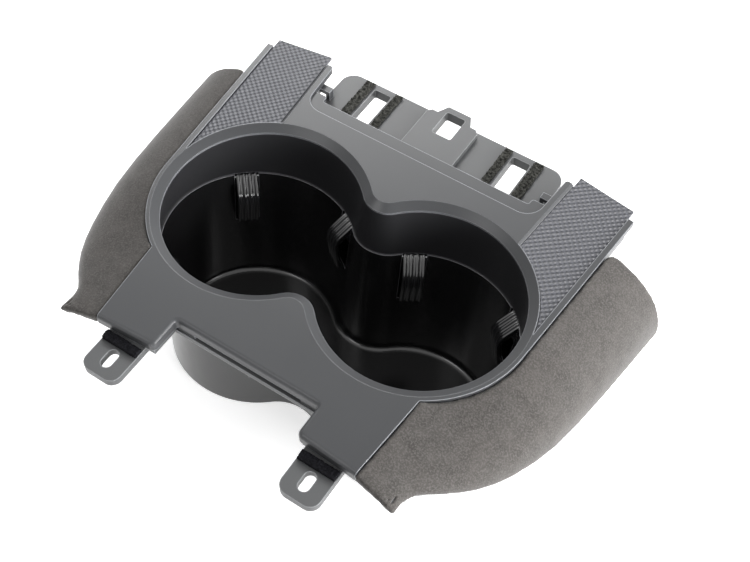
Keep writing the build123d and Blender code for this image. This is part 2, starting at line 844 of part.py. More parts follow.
# Foam pads on the front tabs
for name, side in sides.items():
    with BuildPart() as foam:
        with BuildSketch(deck.offset(soft_gap - tab_level)):
            with Locations((side * tab_x, -foam_rear - foam_length / 2)):
                Rectangle(foam_width, foam_length)
        extrude(amount=foam_thickness)
    foam.part.label = f"foam_pad_{name}"
    export_step(foam.part, f"parts/foam_pad_{name}.step")

# Cores of the side panels: a curved shell with a leg that stands on the carrier
core_inside = panel_gap + suede_thickness + core_return_gap
core_skin = suede_thickness + core_gap
with BuildPart() as core_right:
    add(panel_block(core_skin, core_skin))
    add(panel_block(core_skin + core_thickness, -core_skin), mode=Mode.SUBTRACT)
    with BuildSketch(deck.offset(-carrier_level)):
        add(trim_outline(core_inside + core_leg_width))
        add(trim_outline(core_inside), mode=Mode.SUBTRACT)
        with Locations((wide / 2, (core_leg_rear - core_leg_front) / 2)):
            Rectangle(wide, core_leg_rear + core_leg_front, mode=Mode.INTERSECT)
    leg = extrude(amount=carrier_level, mode=Mode.PRIVATE)
    add(leg.intersect(panel_block(core_skin, -column_height)))
    add(panel_range(core_skin), mode=Mode.INTERSECT)
    add(trim_column(core_inside), mode=Mode.SUBTRACT)
    add(panel_corner(core_skin), mode=Mode.SUBTRACT)
    with BuildSketch(deck.offset(-carrier_level)):
        add(trim_outline(panel_seat_width + core_gap))
    extrude(amount=-carrier_thickness - core_gap, mode=Mode.SUBTRACT)
    with BuildSketch(deck.offset(-carrier_level)):
        with Locations(*stake_points):
            Circle(stake_radius)
    extrude(amount=-stake_length)
with BuildPart() as core_left:
    mirror(core_right.part, about=Plane.YZ)

# Suede covers, wrapped over the cores and turned under all round
with BuildPart() as suede_hollow:
    add(panel_block(suede_thickness, suede_thickness))
    add(panel_range(suede_thickness), mode=Mode.INTERSECT)
    add(trim_column(panel_gap + suede_thickness), mode=Mode.SUBTRACT)
    add(panel_corner(suede_thickness), mode=Mode.SUBTRACT)
with BuildPart() as suede_right:
    add(panel_block(0, 0))
    add(panel_range(0), mode=Mode.INTERSECT)
    add(trim_column(panel_gap), mode=Mode.SUBTRACT)
    add(panel_corner(0), mode=Mode.SUBTRACT)
    add(suede_hollow.part, mode=Mode.SUBTRACT)
    add(panel_block(suede_hem, -core_skin), mode=Mode.SUBTRACT)
with BuildPart() as suede_left:
    mirror(suede_right.part, about=Plane.YZ)

for name, piece in {
    "inlay_left": inlay_left,
    "inlay_right": inlay_right,
    "side_panel_core_left": core_left,
    "side_panel_core_right": core_right,
    "suede_cover_left": suede_left,
    "suede_cover_right": suede_right,
}.items():
    piece.part.label = name
    export_step(piece.part, f"parts/{name}.step")

# Grip fingers with ribbed faces and a web behind, and the leaf spring behind each
groove_middles = [(i - (finger_grooves - 1) / 2) * finger_groove_pitch for i in range(finger_grooves)]
rib_starts = [-finger_width / 2] + [middle + finger_groove_width / 2 for middle in groove_middles]
rib_ends = [middle - finger_groove_width / 2 for middle in groove_middles] + [finger_width / 2]
for cup, side in sides.items():
    for spot, place in finger_places.items():
        hinge = finger_frame(side, place)
        with BuildPart() as finger:
            with BuildSketch(hinge.offset(-finger_width / 2)):
                add(finger_section(finger_groove_depth))
            extrude(amount=finger_width)
            for start, end in zip(rib_starts, rib_ends):
                with BuildSketch(hinge.offset(start)):
                    add(finger_section(0))
                extrude(amount=end - start)
            with BuildSketch(hinge.offset(-finger_web_width / 2)):
                with BuildLine():
                    Polyline(
                        finger_nose - finger_ramp_out * (finger_wall / 2),
                        finger_heel + finger_face_out * (finger_wall / 2) - finger_face * finger_wall,
                        (finger_web_back, -finger_web_length),
                        (finger_web_back, -finger_hub_radius / 2),
                        close=True,
                    )
                make_face()
            extrude(amount=finger_web_width)
            with BuildSketch(hinge.offset(-finger_width / 2)):
                Circle(pin_radius + pin_running_clearance)
            extrude(amount=finger_width, mode=Mode.SUBTRACT)
        finger.part.label = f"grip_finger_{cup}_{spot}"
        export_step(finger.part, f"parts/{finger.part.label}.step")

        wall = finger_hinge_radius - pocket_depth_radius + spring_thickness / 2
        crest = finger_web_back - spring_gap - spring_thickness / 2
        with BuildPart() as spring:
            with BuildSketch(hinge.offset(-spring_width / 2)):
                with BuildLine():
                    Line((wall, spring_foot - spring_top_drop), (wall, -spring_top_drop))
                    ThreePointArc(
                        (wall, -spring_top_drop),
                        (crest, -(spring_top_drop + spring_bottom_drop) / 2),
                        (wall, -spring_bottom_drop),
                    )
                    Line((wall, -spring_bottom_drop), (wall, -spring_bottom_drop - spring_foot))
                trace(line_width=spring_thickness)
            extrude(amount=spring_width)
        spring.part.label = f"finger_spring_{cup}_{spot}"
        export_step(spring.part, f"parts/{spring.part.label}.step")

# Steel hinge pins, one through each finger
with BuildPart() as hinge_pins:
    for side in sides.values():
        for place in finger_places.values():
            with BuildSketch(finger_frame(side, place).offset(-pin_length / 2)):
                Circle(pin_radius)
            extrude(amount=pin_length)
hinge_pins.part.label = "hinge_pins"
export_step(hinge_pins.part, "parts/hinge_pins.step")

# Screws that clamp the top panel, the tub and the carrier together
with BuildPart() as trim_screws:
    with BuildSketch(deck.offset(-carrier_bottom)):
        with Locations(*ear_screws, *plain_screws):
            Circle(screw_head_radius)
    extrude(amount=-screw_head_height)
    with BuildSketch(deck.offset(-carrier_bottom)):
        with Locations(*ear_screws, *plain_screws):
            Circle(screw_radius)
    extrude(amount=carrier_bottom - plate_thickness - screw_end_gap)
    with BuildSketch(deck.offset(-carrier_bottom - screw_head_height)):
        with Locations(*ear_screws, *plain_screws):
            RegularPolygon(screw_recess_radius, 6)
    extrude(amount=screw_recess_depth, mode=Mode.SUBTRACT)
trim_screws.part.label = "trim_screws"
export_step(trim_screws.part, "parts/trim_screws.step")
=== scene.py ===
import json
from math import cos, radians, sin, sqrt

import bmesh
import bpy
from mathutils import Matrix, Vector, noise


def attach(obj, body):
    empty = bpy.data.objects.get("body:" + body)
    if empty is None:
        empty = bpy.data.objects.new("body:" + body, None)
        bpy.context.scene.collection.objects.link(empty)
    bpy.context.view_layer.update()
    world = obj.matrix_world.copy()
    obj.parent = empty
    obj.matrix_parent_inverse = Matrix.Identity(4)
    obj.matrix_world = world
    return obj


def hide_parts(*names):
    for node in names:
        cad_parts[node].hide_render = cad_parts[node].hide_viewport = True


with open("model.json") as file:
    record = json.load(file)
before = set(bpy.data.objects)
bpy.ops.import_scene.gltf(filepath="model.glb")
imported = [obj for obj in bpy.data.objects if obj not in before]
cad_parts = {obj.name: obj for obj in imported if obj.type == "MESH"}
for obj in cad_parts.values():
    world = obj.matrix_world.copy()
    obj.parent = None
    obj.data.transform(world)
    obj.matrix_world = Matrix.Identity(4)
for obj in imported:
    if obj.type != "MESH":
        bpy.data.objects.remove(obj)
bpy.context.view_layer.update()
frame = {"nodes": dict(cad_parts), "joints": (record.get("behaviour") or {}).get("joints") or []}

bl_info = {
    "name": "Twin Cup Holder",
    "version": (1, 0, 0),
    "blender": (4, 5, 0),
    "location": "View3D > Sidebar > Cup Holder",
    "description": "Dresses a twin cup holder for a car console in its finishes, suede, felt and foam",
    "category": "Object",
}

MM = 0.001
SIDES = {"left": -1, "right": 1}

# The top plate slopes up to the rear. SLOPE takes the plate's own metres to the frame, and
# PLATE its own millimetres: X to the right, Y up the slope and Z out of the plate, from the
# point between the cups.
PLATE_HEIGHT = 84.5
PLATE_TILT = 7.4
SLOPE = Matrix.Translation((0, 0, PLATE_HEIGHT * MM)) @ Matrix.Rotation(
    radians(PLATE_TILT), 4, "X"
)
PLATE = SLOPE @ Matrix.Scale(MM, 4)
FLANGE_TOP = -8.0
TAB_TOP = -5.0

# Sizes of what the finishes show, in millimetres
GLOSS_PATCH = 22.22
# Width of the painted highlight along outer edges
EDGE_HIGHLIGHT_WIDTH = 0.4
RIDGE_HEIGHT = 0.25
NAP_PATCH = 6.667
NAP_CLOUD = 16.67
NAP_TUFT = 0.6667
NAP_DEPTH = 0.2
STEEL_MARK = 0.6667
STEEL_DEPTH = 0.05
FELT_TUFT = 1.3
FELT_DEPTH = 0.5
FOAM_PORE = 0.6
FOAM_DEPTH = 0.3

# Steps of a finger's outline and mesh
QUARTER_TURN = radians(90)
HUB_TURN = radians(278)
HUB_STEPS = 13
TIP_STEPS = 3
NOSE_STEPS = 8
BORE_SEGMENTS = 24
RIBS = 4
RIB_SHARES = (-1, -0.85, -0.5, 0, 0.5, 0.85, 1)

# Suede: what is merged in the solid's mesh, and the length of its slow waves, in millimetres
MERGE_GAP = 0.001
WAVE_LENGTH = 14

# Felt strips and foam pads, in the plate's millimetres
FELT_MIDDLE = 75.4
FELT_THICKNESS = 0.8
FELT_RISE = 0.6
FELT_CELL = 0.9
FELT_CUTS = 90
PAD_SIZE = (15.8, 3.7, 1.8)
PAD_ACROSS = 44.7
PAD_ALONG = -78.5
PAD_RISE = 1.05
PAD_FUZZ = 0.25
PAD_CUTS = 70
PAD_SEED = 7.0
FOOT_GAP = 0.01
FUZZ_FALL = 0.8
FUZZ_STEP = 2.0
FUZZ_OCTAVES = 3

# Studio: each lamp's name, place, width and height in metres, and power in watts
LAMPS = (
    ("lamp_rear", (-0.58, 0.82, 0.92), (0.9, 0.5), 14),
    ("lamp_right", (1.0, 0.4, 0.7), (0.8, 0.5), 7),
    ("lamp_side", (1.15, 0.0, 0.25), (0.9, 0.35), 24),
    ("lamp_front", (-0.45, -0.85, 1.05), (0.5, 0.5), 3),
)
LAMP_AIM = (0, 0, 0.07)
FLOOR_HALF = 4.0
SENSOR_WIDTH = 36
WHITE = (1, 1, 1, 1)


def colour(text):
    """An sRGB hex value as a linear colour."""
    parts = [int(text[i : i + 2], 16) / 255 for i in (0, 2, 4)]
    return [p / 12.92 if p <= 0.04045 else ((p + 0.055) / 1.055) ** 2.4 for p in parts]


def toned(base, share):
    """A colour made darker or lighter, with its alpha."""
    return (*[min(part * share, 1) for part in base], 1)


def colour_setting(name, description, text):
    """A colour that the panel shows."""
    return bpy.props.FloatVectorProperty(
        name=name, description=description, subtype="COLOR", default=colour(text), min=0, max=1
    )


def length_setting(name, description, millimetres):
    """A length that the panel shows, in metres."""
    return bpy.props.FloatProperty(
        name=name,
        description=description,
        default=millimetres * MM,
        min=0,
        subtype="DISTANCE",
        unit="LENGTH",
        precision=5,
    )


def angle_setting(name, description, degrees):
    """An angle that the panel shows."""
    return bpy.props.FloatProperty(
        name=name, description=description, default=radians(degrees), subtype="ANGLE"
    )


def strength_setting(name, description, value):
    """A strength of light that the panel shows."""
    return bpy.props.FloatProperty(name=name, description=description, default=value, min=0)


class HOLDER_PG_colours(bpy.types.PropertyGroup):
    """Colours of the finishes."""

    trim: colour_setting("Trim", "Top plate, satin moulded plastic", "3f4042")
    inlay: colour_setting("Inlay", "Embossed inlays in the rear arms", "505157")
    carrier: colour_setting("Carrier", "Frame under the top plate", "545556")
    collar: colour_setting("Collar", "Upper wall of the cups", "29292b")
    cups: colour_setting("Cups", "Tub", "161617")
    fingers: colour_setting("Fingers", "Grip fingers", "1c1c1d")
    suede: colour_setting("Suede", "Side panels, nap lying flat", "494745")
    suede_raised: colour_setting("Suede raised", "Side panels, nap brushed up", "646260")
    felt: colour_setting("Felt", "Strips beside the windows", "40403d")
    foam: colour_setting("Foam", "Pads on the tabs", "17171a")
    springs: colour_setting("Springs", "Leaf springs behind the fingers", "b5b6b8")
    pins: colour_setting("Pins", "Hinge pins of the fingers", "c2c3c5")
    screws: colour_setting("Screws", "Screws from below", "2b2b2d")
    floor: colour_setting("Floor", "Paper that the holder stands on", "f4f4f4")


class HOLDER_PG_sizes(bpy.types.PropertyGroup):
    """Sizes of the textures and soft pieces."""

    weave_pitch: length_setting("Weave pitch", "Distance between the inlay's ridges", 1.9)
    grain: length_setting("Grain", "Size of the moulded grain", 0.35)
    suede_voxel: length_setting("Suede voxel", "Mesh size of the suede covers", 0.5)
    suede_wave: length_setting("Suede wave", "Height of the suede's slow waves", 0.12)
    suede_lift: length_setting("Suede lift", "How far the suede stands off its core", 0.34)
    felt_fuzz: length_setting("Felt fuzz", "How far the felt's fibres stand out", 0.45)
    foam_cell: length_setting("Foam cell", "Size of the foam's open cells", 0.7)


class HOLDER_PG_camera(bpy.types.PropertyGroup):
    """Camera of the photograph, measured in the top plate's own plane, with angles in degrees."""

    azimuth: bpy.props.FloatProperty(
        name="Azimuth", description="Turn to the right of the front", default=33.16
    )
    elevation: bpy.props.FloatProperty(
        name="Elevation", description="Angle above the top plate", default=55.76
    )
    roll: bpy.props.FloatProperty(
        name="Roll", description="Turn about the line of sight", default=0.32
    )
    distance: length_setting("Distance", "From the camera to the point it looks at", 443.6)
    aim_x: length_setting("Aim right", "Point looked at, to the right of the middle", 19.88)
    aim_y: bpy.props.FloatProperty(
        name="Aim forward",
        description="Point looked at, up the slope from the middle",
        default=-5.09 * MM,
        subtype="DISTANCE",
        unit="LENGTH",
        precision=5,
    )
    lens: bpy.props.FloatProperty(
        name="Lens", description="Focal length in millimetres", default=55.75, min=10
    )


def add_node(tree, kind, links=None, **settings):
    """Adds a node: settings go to its properties or its input sockets, links to its inputs."""
    node = tree.nodes.new(kind)
    for name, value in settings.items():
        if hasattr(node, name):
            setattr(node, name, value)
        else:
            node.inputs[name.replace("_", " ")].default_value = value
    for name, source in (links or {}).items():
        tree.links.new(source, node.inputs[name])
    return node


def new_material(name, base, roughness, specular=0.5):
    """A material with a Principled shader, and its Object coordinates."""
    material = bpy.data.materials.new(name)
    material.use_nodes = True
    tree = material.node_tree
    shader = tree.nodes["Principled BSDF"]
    shader.inputs["Base Color"].default_value = (*base, 1)
    shader.inputs["Roughness"].default_value = roughness
    shader.inputs["Specular IOR Level"].default_value = specular
    material.diffuse_color = (*base, 1)
    place = add_node(tree, "ShaderNodeTexCoord").outputs["Object"]
    return material, tree, shader, place


def moulded_plastic(
    name, base, roughness, grain, depth, rounding, edge_highlight, vary=0.06, specular=0.4
):
    """Injection-moulded plastic: an even fine grain from the tool, slightly rounded edges with a
    painted highlight that makes their outer edges lighter in colour, and a faint change of gloss from
    place to place. A real grain is about a tenth of a millimetre, too fine to show, so it is drawn
    coarser."""
    material, tree, shader, place = new_material(name, base, roughness, specular)
    round_edge = add_node(tree, "ShaderNodeBevel", samples=6, Radius=rounding)
    pits = add_node(tree, "ShaderNodeTexNoise", {"Vector": place}, Scale=1 / grain, Detail=2.0)
    bump = add_node(
        tree,
        "ShaderNodeBump",
        {"Height": pits.outputs["Fac"], "Normal": round_edge.outputs["Normal"]},
        Strength=0.35,
        Distance=depth,
    )
    tree.links.new(bump.outputs["Normal"], shader.inputs["Normal"])
    wipe = add_node(
        tree, "ShaderNodeTexNoise", {"Vector": place}, Scale=1 / (GLOSS_PATCH * MM), Detail=3.0
    )
    gloss = add_node(
        tree,
        "ShaderNodeMapRange",
        {"Value": wipe.outputs["Fac"]},
        To_Min=roughness - vary,
        To_Max=roughness + vary,
    )
    tree.links.new(gloss.outputs["Result"], shader.inputs["Roughness"])
    # Seen from inside the wall, only an outer edge is close to another face
    inside = add_node(
        tree,
        "ShaderNodeAmbientOcclusion",
        samples=6,
        inside=True,
        only_local=True,
        Distance=EDGE_HIGHLIGHT_WIDTH * MM,
    )
    # Painted highlight: outer edges are made lighter in colour, standing in for light caught on their
    # rounding
    highlight_mask = add_node(
        tree, "ShaderNodeMapRange", {"Value": inside.outputs["AO"]}, From_Min=0.99, From_Max=0.62
    )
    shade = add_node(
        tree,
        "ShaderNodeMix",
        {"Factor": highlight_mask.outputs["Result"]},
        data_type="RGBA",
        A=(*base, 1),
        B=toned(base, edge_highlight),
    )
    tree.links.new(shade.outputs["Result"], shader.inputs["Base Color"])
    return material


def embossed_plastic(name, base, pitch, splay, pit_shade=0.55, ridge_highlight=1.12):
    """Plastic moulded with a fine weave: two families of ridges that cross at right angles, diagonal
    to the arm, with painted shade in the pit of each mesh and a painted highlight on the ridges."""
    material, tree, shader, place = new_material(name, base, 0.42)
    turned = add_node(
        tree,
        "ShaderNodeMapping",
        {"Vector": place},
        vector_type="POINT",
        Rotation=(0, 0, radians(45) + splay),
        Scale=(1 / pitch,) * 3,
    )
    split = add_node(tree, "ShaderNodeSeparateXYZ", {"Vector": turned.outputs["Vector"]})
    ridges = []
    for axis in "XY":
        wave = add_node(tree, "ShaderNodeMath", {0: split.outputs[axis]}, operation="PINGPONG")
        wave.inputs[1].default_value = 0.5
        ridges.append(wave.outputs[0])
    height = add_node(tree, "ShaderNodeMath", {0: ridges[0], 1: ridges[1]}, operation="ADD")
    smooth = add_node(
        tree,
        "ShaderNodeMapRange",
        {"Value": height.outputs[0]},
        interpolation_type="SMOOTHSTEP",
        From_Min=0.05,
        From_Max=0.85,
    )
    bump = add_node(
        tree,
        "ShaderNodeBump",
        {"Height": smooth.outputs["Result"]},
        Strength=1.0,
        Distance=RIDGE_HEIGHT * MM,
    )
    tree.links.new(bump.outputs["Normal"], shader.inputs["Normal"])
    # Painted shade in the pits and painted highlight on the ridges, following the weave's height
    shade = add_node(
        tree,
        "ShaderNodeMix",
        {"Factor": smooth.outputs["Result"]},
        data_type="RGBA",
        A=toned(base, pit_shade),
        B=toned(base, ridge_highlight),
    )
    tree.links.new(shade.outputs["Result"], shader.inputs["Base Color"])
    return material


def suede(name, flat, raised, stroked=0.5, brushed=1.5, warm=(1.0, 0.965, 0.95, 1)):
    """Brushed microfibre suede: a matt nap that looks lighter where it is brushed up, in soft
    patches from handling, with a faint warmth that comes and goes. Its fibres are far too fine
    to show, so small tufts of them are drawn."""
    material, tree, shader, place = new_material(name, flat, 0.95, specular=0.15)
    shader.inputs["Sheen Weight"].default_value = 0.5
    shader.inputs["Sheen Roughness"].default_value = 0.4
    patches = add_node(
        tree,
        "ShaderNodeTexNoise",
        {"Vector": place},
        Scale=1 / (NAP_PATCH * MM),
        Detail=4.0,
        Roughness=0.55,
        Distortion=0.4,
    )
    tufts = add_node(
        tree,
        "ShaderNodeTexNoise",
        {"Vector": place},
        Scale=1 / (NAP_TUFT * MM),
        Detail=2.0,
        Roughness=0.6,
    )
    clouds = add_node(
        tree, "ShaderNodeTexNoise", {"Vector": place}, Scale=1 / (NAP_CLOUD * MM), Detail=2.0
    )
    nap = add_node(
        tree,
        "ShaderNodeMix",
        {"Factor": patches.outputs["Fac"]},
        data_type="RGBA",
        A=toned(flat, stroked),
        B=toned(flat, brushed),
    )
    tips = add_node(
        tree,
        "ShaderNodeMapRange",
        {"Value": tufts.outputs["Fac"]},
        From_Min=0.42,
        From_Max=0.72,
        To_Max=0.8,
    )
    lit = add_node(
        tree,
        "ShaderNodeMix",
        {"Factor": tips.outputs["Result"], "A": nap.outputs["Result"]},
        data_type="RGBA",
        B=(*raised, 1),
    )
    tint = add_node(
        tree,
        "ShaderNodeMix",
        {"Factor": clouds.outputs["Fac"], "A": lit.outputs["Result"]},
        data_type="RGBA",
        blend_type="MULTIPLY",
        B=warm,
    )
    tree.links.new(tint.outputs["Result"], shader.inputs["Base Color"])
    bump = add_node(
        tree,
        "ShaderNodeBump",
        {"Height": tufts.outputs["Fac"]},
        Strength=0.5,
        Distance=NAP_DEPTH * MM,
    )
    tree.links.new(bump.outputs["Normal"], shader.inputs["Normal"])
    return material


def fibrous(name, base, pitch, depth, hollow_shade=0.25, tip=2.1):
    """Pressed felt or foam: matt, with a coarse broken surface of tufts or cells, darkened with
    painted shade in its hollows and light at its tips."""
    material, tree, shader, place = new_material(name, base, 1.0, specular=0.1)
    tufts = add_node(
        tree,
        "ShaderNodeTexNoise",
        {"Vector": place},
        Scale=1 / (pitch * MM),
        Detail=4.0,
        Roughness=0.75,
    )
    # Painted shade: the low parts of the pile are darkened, following the bump's height
    shade = add_node(tree, "ShaderNodeValToRGB", {"Fac": tufts.outputs["Fac"]})
    low, high = shade.color_ramp.elements
    low.position = 0.38
    low.color = toned(base, hollow_shade)
    high.position = 0.68
    high.color = toned(base, tip)
    tree.links.new(shade.outputs["Color"], shader.inputs["Base Color"])
    bump = add_node(
        tree,
        "ShaderNodeBump",
        {"Height": tufts.outputs["Fac"]},
        Strength=1.0,
        Distance=depth * MM,
    )
    tree.links.new(bump.outputs["Normal"], shader.inputs["Normal"])
    return material


def steel(name, base, roughness, metallic=1.0):
    """Steel: drawn or rolled bright, or blacked for the screws, with fine marks. Real ones are
    too fine to show, so they are drawn coarser."""
    material, tree, shader, place = new_material(name, base, roughness)
    shader.inputs["Metallic"].default_value = metallic
    marks = add_node(
        tree, "ShaderNodeTexNoise", {"Vector": place}, Scale=1 / (STEEL_MARK * MM), Detail=2.0
    )
    bump = add_node(
        tree,
        "ShaderNodeBump",
        {"Height": marks.outputs["Fac"]},
        Strength=0.2,
        Distance=STEEL_DEPTH * MM,
    )
    tree.links.new(bump.outputs["Normal"], shader.inputs["Normal"])
    return material


def dress(nodes, material):
    """Gives CAD nodes their material."""
    for name in nodes:
        data = frame["nodes"][name].data
        data.materials.clear()
        data.materials.append(material)


def nodes_named(start):
    """The CAD nodes whose names begin so."""
    return [name for name in sorted(frame["nodes"]) if name.startswith(start)]


def finished_mesh(form, name):
    """Turns a bmesh into a mesh and frees it."""
    mesh = bpy.data.meshes.new(name)
    form.to_mesh(mesh)
    form.free()
    return mesh


def keep_piece(name, mesh, material, node, body="holder"):
    """Links a finished mesh as the piece that stands for a CAD node."""
    piece = bpy.data.objects.new(name, mesh)
    bpy.context.scene.collection.objects.link(piece)
    mesh.materials.append(material)
    for face in mesh.polygons:
        face.use_smooth = True
    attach(piece, body)
    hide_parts(node)
    return piece


class HOLDER_OT_mouldings(bpy.types.Operator):
    """Finish the top plate, carrier frame, collar, tub and panel cores"""

    bl_idname = "holder.mouldings"
    bl_label = "Finish mouldings"

    def execute(self, context):
        colours = context.scene.holder_colours
        grain = context.scene.holder_sizes.grain
        # A satin plate, which shows the light behind it as a soft fade towards the front, with a
        # painted highlight on its edges
        trim = moulded_plastic(
            "Moulded ABS, satin",
            colours.trim,
            roughness=0.34,
            grain=grain,
            depth=0.04 * MM,
            rounding=0.35 * MM,
            edge_highlight=6.0,
        )
        dress(["trim_plate"], trim)
        # A duller, paler plastic for the parts that hold the others, with a painted highlight on their
        # edges
        carrier = moulded_plastic(
            "Moulded polypropylene",
            colours.carrier,
            roughness=0.42,
            grain=grain,
            depth=0.05 * MM,
            rounding=0.3 * MM,
            edge_highlight=3.0,
        )
        dress(["carrier_frame"] + nodes_named("side_panel_core"), carrier)
        # Black satin walls, with a painted highlight on their edges that makes a light line where the
        # collar meets the tub
        collar = moulded_plastic(
            "Moulded ABS, black satin",
            colours.collar,
            roughness=0.38,
            grain=grain,
            depth=0.02 * MM,
            rounding=0.3 * MM,
            edge_highlight=10.0,
        )
        dress(["cup_collar"], collar)
        # Black and glossy, so that the cups show tall soft streaks of light, with a strong painted
        # highlight on their edges
        cups = moulded_plastic(
            "Moulded polypropylene, polished",
            colours.cups,
            roughness=0.2,
            grain=grain,
            depth=0.01 * MM,
            rounding=0.3 * MM,
            edge_highlight=30.0,
            vary=0.03,
            specular=0.8,
        )
        dress(["cup_tub"], cups)
        return {"FINISHED"}


class HOLDER_OT_inlays(bpy.types.Operator):
    """Finish the embossed inlays of the rear arms"""

    bl_idname = "holder.inlays"
    bl_label = "Finish inlays"

    splay: angle_setting("Splay", "Turn of the arms outwards", 5)

    def execute(self, context):
        base = context.scene.holder_colours.inlay
        pitch = context.scene.holder_sizes.weave_pitch
        for side, sign in SIDES.items():
            material = embossed_plastic(f"Embossed ABS, {side}", base, pitch, sign * self.splay)
            dress([f"inlay_{side}"], material)
        return {"FINISHED"}


def finger_stations(shape):
    """Places across a finger with how far the front lies back there: its rounded ribs."""
    depth = shape.groove_depth / MM
    stations = []
    for rib in range(RIBS):
        middle = (rib - (RIBS - 1) / 2) * shape.rib_pitch / MM
        half = (shape.rib_pitch - shape.groove_width) / 2 / MM
        for share in RIB_SHARES:
            stations.append((middle + half * share, depth * (1 - sqrt(1 - share**2))))
    return stations


def finger_outline(shape, sink):
    """A finger seen along its pin, in millimetres from the pin: X to the cup's middle, Y up.
    The front lies back by sink, which is more in a groove than on a rib."""
    hub, wall = shape.hub / MM, shape.wall / MM
    nose_round, tip_round = shape.nose_round / MM, shape.tip_round / MM
    ramp = Vector((sin(shape.ramp_angle), -cos(shape.ramp_angle)))
    ramp_out = Vector((-ramp.y, ramp.x))
    face = Vector((-sin(shape.face_return), -cos(shape.face_return)))
    face_out = Vector((-face.y, face.x))
    mitre = (ramp_out + face_out) / (1 + ramp_out.dot(face_out))
    nose = ramp_out * hub + ramp * shape.ramp_length / MM
    tip = nose + face * shape.face_length / MM
    points = []
    for step in range(HUB_STEPS + 1):
        turn = shape.ramp_angle + HUB_TURN * step / HUB_STEPS
        points.append(Vector((cos(turn), sin(turn))) * (hub - sink))
    points.append(nose - mitre * wall)
    points.append(tip - face_out * wall)
    middle = tip - (face_out + face) * tip_round
    for step in range(TIP_STEPS + 1):
        turn = -QUARTER_TURN - shape.face_return + QUARTER_TURN * step / TIP_STEPS
        points.append(middle - face_out * sink + Vector((cos(turn), sin(turn))) * tip_round)
    middle = nose - mitre * nose_round
    for step in range(NOSE_STEPS + 1):
        turn = -shape.face_return + (shape.ramp_angle + shape.face_return) * step / NOSE_STEPS
        points.append(middle + Vector((cos(turn), sin(turn))) * (nose_round - sink))
    return points


def extrude_across(form, faces, stations, shape, numbers):
    """Extrudes the finger's side face across its width, from station to station."""
    start = faces
    for across, sink in stations:
        grown = bmesh.ops.extrude_face_region(form, geom=faces)["geom"]
        bmesh.ops.delete(form, geom=[f for f in faces if f not in start], context="FACES_ONLY")
        faces = [item for item in grown if isinstance(item, bmesh.types.BMFace)]
        outline = finger_outline(shape, sink)
        for vert in {vert for face in faces for vert in face.verts}:
            spot = vert[numbers] - 1
            if spot >= 0:
                vert.co.xy = outline[spot]
            vert.co.z = across


def finger_form(shape):
    """A finger in millimetres from the middle of its pin, which lies along Z."""
    form = bmesh.new()
    # Each vertex of the outline keeps its number from 1, and the pin's hole keeps 0
    numbers = form.verts.layers.int.new("outline")
    stations = finger_stations(shape)
    first, sink = stations[0]
    rim = []
    for number, point in enumerate(finger_outline(shape, sink)):
        vert = form.verts.new((*point, first))
        vert[numbers] = number + 1
        rim.append(vert)
    for pair in zip(rim, rim[1:] + rim[:1]):
        form.edges.new(pair)
    bmesh.ops.create_circle(
        form,
        segments=BORE_SEGMENTS,
        radius=shape.bore / MM,
        matrix=Matrix.Translation((0, 0, first)),
    )
    side = bmesh.ops.triangle_fill(form, edges=form.edges[:], use_beauty=True)["geom"]
    faces = [item for item in side if isinstance(item, bmesh.types.BMFace)]
    extrude_across(form, faces, stations[1:], shape, numbers)
    return form


class HOLDER_OT_fingers(bpy.types.Operator):
    """Model the eight grip fingers with their rounded ribs"""

    bl_idname = "holder.fingers"
    bl_label = "Model fingers"

    hub: length_setting("Hub", "Radius round the pin", 2.8)
    bore: length_setting("Bore", "Radius of the pin's hole", 1.04)
    wall: length_setting("Wall", "Thickness of a finger", 2.4)
    ramp_length: length_setting("Ramp length", "From the pin down the ramp", 11.1)
    face_length: length_setting("Face length", "From the nose to the tip", 15.7)
    nose_round: length_setting("Nose round", "Radius between ramp and face", 9.0)
    tip_round: length_setting("Tip round", "Radius at the tip", 1.0)
    rib_pitch: length_setting("Rib pitch", "Distance between the ribs", 2.6)
    groove_width: length_setting("Groove width", "Across a groove", 1.0)
    groove_depth: length_setting("Groove depth", "From a rib's top to the groove", 0.6)
    ramp_angle: angle_setting("Ramp angle", "Lean of the ramp into the cup", 45)
    face_return: angle_setting("Face return", "Lean of the face back out", 9)

    def execute(self, context):
        # Black and shiny as acetal is when moulded, so that each rib carries a bright line, with a
        # painted highlight on its edges as well
        gloss = moulded_plastic(
            "Moulded acetal, glossy",
            context.scene.holder_colours.fingers,
            roughness=0.14,
            grain=0.5 * MM,
            depth=0.01 * MM,
            rounding=0.2 * MM,
            edge_highlight=12.0,
            vary=0.03,
            specular=1.0,
        )
        for joint in frame["joints"]:
            body = joint["child"]
            node = f"grip_{body}"
            form = finger_form(self)
            outward = Vector((-joint["axis"][1], joint["axis"][0], 0))
            pin = Vector((-outward.y, outward.x, 0))
            axes = Matrix((-outward, Vector((0, 0, 1)), pin)).transposed().to_4x4()
            place = Matrix.Translation(joint["pos_m"]) @ axes @ Matrix.Scale(MM, 4)
            bmesh.ops.transform(form, matrix=place, verts=form.verts)
            bmesh.ops.recalc_face_normals(form, faces=form.faces)
            mesh = finished_mesh(form, node)
            keep_piece(f"{node}_ribbed", mesh, gloss, node, body)
        return {"FINISHED"}


class HOLDER_OT_metal_parts(bpy.types.Operator):
    """Finish the leaf springs, hinge pins and screws"""

    bl_idname = "holder.metal_parts"
    bl_label = "Finish metal parts"

    def execute(self, context):
        colours = context.scene.holder_colours
        dress(nodes_named("finger_spring"), steel("Spring steel, rolled", colours.springs, 0.28))
        dress(["hinge_pins"], steel("Steel, ground", colours.pins, 0.2))
        dress(["trim_screws"], steel("Steel, blacked", colours.screws, 0.45, metallic=0.6))
        return {"FINISHED"}


